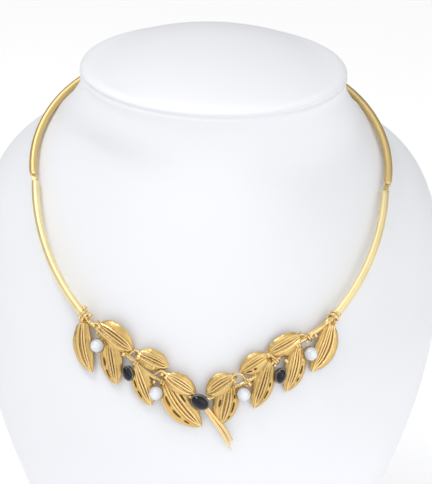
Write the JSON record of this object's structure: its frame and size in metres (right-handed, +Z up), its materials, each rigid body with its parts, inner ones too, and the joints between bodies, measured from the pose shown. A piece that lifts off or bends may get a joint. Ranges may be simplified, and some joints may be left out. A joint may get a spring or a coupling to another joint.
{
  "type": "choker necklace on a neck bust",
  "caption": "Hinged rigid collar necklace with a spray of leaves, pearls and dark oval stones, shown on a plain white neck bust.",
  "frame": {"origin": "under the middle of the whole, on the surface that the bust stands on", "axes": "+Z up, -Y the way the bust faces, +X to the right as seen from the front"},
  "size_m": [0.176, 0.1063, 0.2029],
  "materials": {
    "bust_cover": "smooth white leatherette with a soft sheen",
    "tube_gold": "pale gold plate, polished and slightly satin",
    "spray_gold": "satin gold plate, brushed along each leaf",
    "pearl": "lustrous white pearl",
    "dark_stone": "polished near-black blue stone"
  },
  "bodies": {
    "root": {"neck_bust": "bust_cover", "front_tube_left": "tube_gold", "front_tube_right": "tube_gold", "leaf_spray": "spray_gold", "pearl_left_outer": "pearl", "pearl_left_inner": "pearl", "pearl_right_inner": "pearl", "pearl_right_outer": "pearl", "cabochon_left": "dark_stone", "cabochon_centre": "dark_stone", "cabochon_right": "dark_stone"},
    "left_arm": {"arm_left": "tube_gold", "hinge_pin_left": "tube_gold"},
    "right_arm": {"arm_right": "tube_gold", "hinge_pin_right": "tube_gold", "clasp": "tube_gold"}
  },
  "joints": [
    {"name": "left_arm_hinge", "type": "hinge", "parent": "root", "child": "left_arm", "pos_m": [-0.064, 0.00863, 0.15602], "axis": [0, -0.6691, 0.7431], "range_deg": [0, 50]},
    {"name": "right_arm_hinge", "type": "hinge", "parent": "root", "child": "right_arm", "pos_m": [0.064, 0.00863, 0.15602], "axis": [0, 0.6691, -0.7431], "range_deg": [0, 50]}
  ]
}
